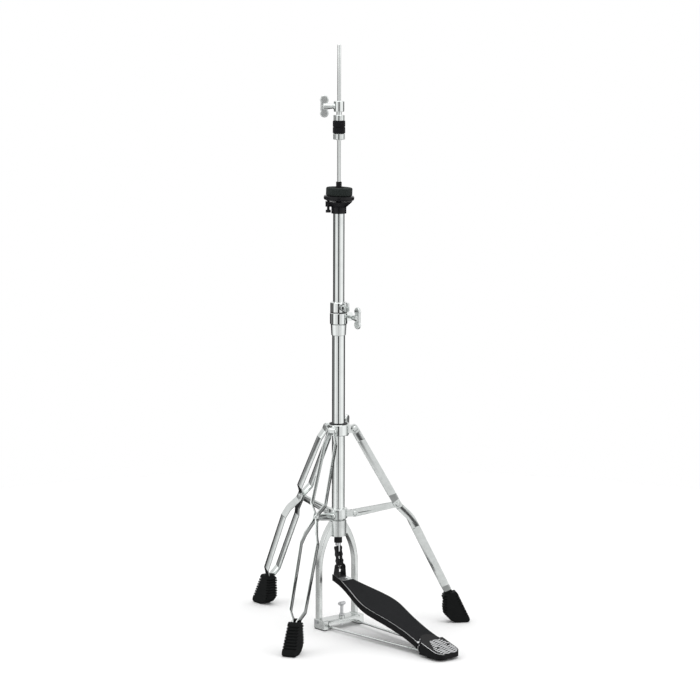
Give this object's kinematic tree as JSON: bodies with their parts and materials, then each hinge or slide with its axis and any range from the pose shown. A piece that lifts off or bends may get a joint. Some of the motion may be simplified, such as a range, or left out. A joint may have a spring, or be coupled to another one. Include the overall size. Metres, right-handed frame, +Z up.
{
  "type": "hi-hat stand",
  "caption": "Hi-hat stand with folding tripod legs, a chain-driven footboard, a height-adjustable tube, a tilting cymbal seat and a rod clutch; no cymbals.",
  "frame": {"origin": "on the floor, in the middle of the stand's footprint; the axis of the upright tubes is at y = 37.7 mm", "axes": "+Z up along the tubes and the pull rod; -Y towards the pedal's heel; +X to the height clamp's ears"},
  "size_m": [0.4698, 0.6043, 1.148],
  "materials": {
    "chrome": "polished chrome plate",
    "plated_steel": "chrome-plated steel, slightly mottled",
    "cast_grey": "polished casting",
    "zinc_steel": "plain turned steel",
    "black_steel": "blackened steel",
    "spring_steel": "drawn wire",
    "black_board": "black paint with bright bare edges",
    "grip_mat": "fine-textured grip mat",
    "rubber": "black ribbed rubber",
    "black_plastic": "moulded nylon",
    "gloss_black": "gloss moulding",
    "felt": "pressed wool felt"
  },
  "bodies": {
    "frame": {"lower_tube": "chrome", "height_clamp": "chrome", "clamp_bushing": "black_plastic", "yoke": "cast_grey", "yoke_foot_screws": "zinc_steel", "floor_pads": "rubber", "base_plate": "cast_grey", "radius_rods": "chrome", "heel_plate": "black_board", "heel_pin": "black_steel", "rod_bumper": "black_plastic"},
    "tripod": {"stay_collar": "plated_steel", "stay_pivot_rivets": "plated_steel"},
    "leg_collar": {"leg_collar": "chrome", "leg_collar_sleeve": "black_plastic", "leg_pivot_rivets": "plated_steel"},
    "collar_wing": {"collar_wing_bolt": "chrome"},
    "upper_tube": {"upper_tube": "chrome", "memory_lock": "chrome", "seat_base": "gloss_black", "seat_sleeve": "black_plastic", "rod_guide": "black_plastic"},
    "memory_lock_bolt": {"memory_lock_bolt": "chrome"},
    "clamp_wing": {"clamp_wing_bolt": "chrome"},
    "seat": {"seat_cup": "gloss_black", "seat_felt": "felt"},
    "tilt_screw": {"tilt_screw": "black_steel"},
    "pull_rod": {"lower_pull_rod": "chrome", "upper_pull_rod": "chrome", "rod_clevis": "zinc_steel", "spring_collar": "zinc_steel", "return_spring": "spring_steel"},
    "chain": {"chain_outer_links": "black_steel", "chain_inner_links": "black_steel"},
    "footboard": {"footboard": "black_board", "footboard_mat": "grip_mat", "chain_anchor": "black_steel", "toe_pins": "black_steel"},
    "clutch": {"clutch_body": "chrome", "clutch_tube": "chrome", "clutch_upper_nut": "chrome", "clutch_felts": "felt"},
    "clutch_wing": {"clutch_wing_bolt": "chrome"},
    "clutch_nut": {"clutch_lower_nut": "chrome"},
    "thumb_bolt": {"thumb_bolt": "zinc_steel"},
    "leg_front_right": {"leg_bar_left_front_right": "plated_steel", "leg_bar_right_front_right": "plated_steel", "leg_rivets_front_right": "plated_steel", "rubber_foot_front_right": "rubber"},
    "stay_front_right": {"stay_front_right": "plated_steel"},
    "leg_front_left": {"leg_bar_left_front_left": "plated_steel", "leg_bar_right_front_left": "plated_steel", "leg_rivets_front_left": "plated_steel", "rubber_foot_front_left": "rubber"},
    "stay_front_left": {"stay_front_left": "plated_steel"},
    "leg_rear": {"leg_bar_left_rear": "plated_steel", "leg_bar_right_rear": "plated_steel", "leg_rivets_rear": "plated_steel", "rubber_foot_rear": "rubber"},
    "stay_rear": {"stay_rear": "plated_steel"}
  },
  "joints": [
    {"name": "tripod_swivel", "type": "hinge", "parent": "frame", "child": "tripod", "pos_m": [0, 0.0377, 0.2281], "axis": [0, 0, 1], "range_deg": [-30, 30]},
    {"name": "leg_collar_slide", "type": "slide", "parent": "tripod", "child": "leg_collar", "axis": [0, 0, 1], "range_m": [0, 0.07]},
    {"name": "collar_wing_turn", "type": "hinge", "parent": "leg_collar", "child": "collar_wing", "pos_m": [0, 0.0377, 0.396], "axis": [0.866, 0.5, 0], "continuous": true},
    {"name": "leg_front_right_fold", "type": "hinge", "parent": "leg_collar", "child": "leg_front_right", "pos_m": [0.02728, 0.02195, 0.397], "axis": [0.5, 0.866, 0], "range_deg": [0, 12.5]},
    {"name": "stay_front_right_fold", "type": "hinge", "parent": "tripod", "child": "stay_front_right", "pos_m": [0.02832, 0.02135, 0.2275], "axis": [0.5, 0.866, 0], "range_deg": [-44.5, 0]},
    {"name": "leg_front_left_fold", "type": "hinge", "parent": "leg_collar", "child": "leg_front_left", "pos_m": [-0.02728, 0.02195, 0.397], "axis": [0.5, -0.866, 0], "range_deg": [0, 12.5]},
    {"name": "stay_front_left_fold", "type": "hinge", "parent": "tripod", "child": "stay_front_left", "pos_m": [-0.02832, 0.02135, 0.2275], "axis": [0.5, -0.866, 0], "range_deg": [-44.5, 0]},
    {"name": "leg_rear_fold", "type": "hinge", "parent": "leg_collar", "child": "leg_rear", "pos_m": [0, 0.0692, 0.397], "axis": [-1, 0, 0], "range_deg": [0, 12.5]},
    {"name": "stay_rear_fold", "type": "hinge", "parent": "tripod", "child": "stay_rear", "pos_m": [0, 0.0704, 0.2275], "axis": [-1, 0, 0], "range_deg": [-44.5, 0]},
    {"name": "height_slide", "type": "slide", "parent": "frame", "child": "upper_tube", "axis": [0, 0, 1], "range_m": [0, 0.038]},
    {"name": "memory_lock_bolt_turn", "type": "hinge", "parent": "upper_tube", "child": "memory_lock_bolt", "pos_m": [0.00288, 0.02135, 0.6386], "axis": [0.9848, 0.1736, 0], "continuous": true},
    {"name": "clamp_wing_turn", "type": "hinge", "parent": "frame", "child": "clamp_wing", "pos_m": [0.0205, 0.0377, 0.6177], "axis": [0, -1, 0], "continuous": true},
    {"name": "seat_tilt", "type": "hinge", "parent": "upper_tube", "child": "seat", "pos_m": [0, 0.0377, 0.8455], "axis": [0.628, 0.7782, 0], "range_deg": [-2, 2]},
    {"name": "tilt_screw_slide", "type": "slide", "parent": "upper_tube", "child": "tilt_screw", "axis": [0, 0, 1], "range_m": [-0.0008, 0.0008]},
    {"name": "pull", "type": "slide", "parent": "frame", "child": "pull_rod", "axis": [0, 0, 1], "range_m": [-0.042, 0], "stiffness_N_per_m": 1200, "springref_m": 0.03, "deforming": ["return_spring"]},
    {"name": "chain_swing", "type": "hinge", "parent": "pull_rod", "child": "chain", "pos_m": [0, 0.0377, 0.1576], "axis": [1, 0, 0], "range_deg": [0, 19]},
    {"name": "board_hinge", "type": "hinge", "parent": "frame", "child": "footboard", "pos_m": [0, -0.2483, 0.0155], "axis": [1, 0, 0], "range_deg": [-8.6, 0]},
    {"name": "clutch_slide", "type": "slide", "parent": "pull_rod", "child": "clutch", "axis": [0, 0, 1], "range_m": [0, 0.1]},
    {"name": "clutch_wing_turn", "type": "hinge", "parent": "clutch", "child": "clutch_wing", "pos_m": [0, 0.0377, 1.029], "axis": [-0.7782, 0.628, 0], "continuous": true},
    {"name": "clutch_nut_turn", "type": "hinge", "parent": "clutch", "child": "clutch_nut", "pos_m": [0, 0.0377, 0.971], "axis": [0, 0, 1], "continuous": true},
    {"name": "thumb_bolt_turn", "type": "hinge", "parent": "frame", "child": "thumb_bolt", "pos_m": [0, 0.0257, 0.03], "axis": [0, 0, 1], "continuous": true}
  ],
  "couplings": [
    {"joint": "leg_front_right_fold", "follows": "leg_collar_slide", "rad_per_m": 3.0393},
    {"joint": "stay_front_right_fold", "follows": "leg_collar_slide", "rad_per_m": -10.932},
    {"joint": "leg_front_left_fold", "follows": "leg_collar_slide", "rad_per_m": 3.0393},
    {"joint": "stay_front_left_fold", "follows": "leg_collar_slide", "rad_per_m": -10.932},
    {"joint": "leg_rear_fold", "follows": "leg_collar_slide", "rad_per_m": 3.0393},
    {"joint": "stay_rear_fold", "follows": "leg_collar_slide", "rad_per_m": -10.932},
    {"joint": "tilt_screw_slide", "follows": "seat_tilt", "m_per_rad": 0.019},
    {"joint": "chain_swing", "follows": "pull", "rad_per_m": -7.7018},
    {"joint": "board_hinge", "follows": "pull", "rad_per_m": 3.4928}
  ]
}
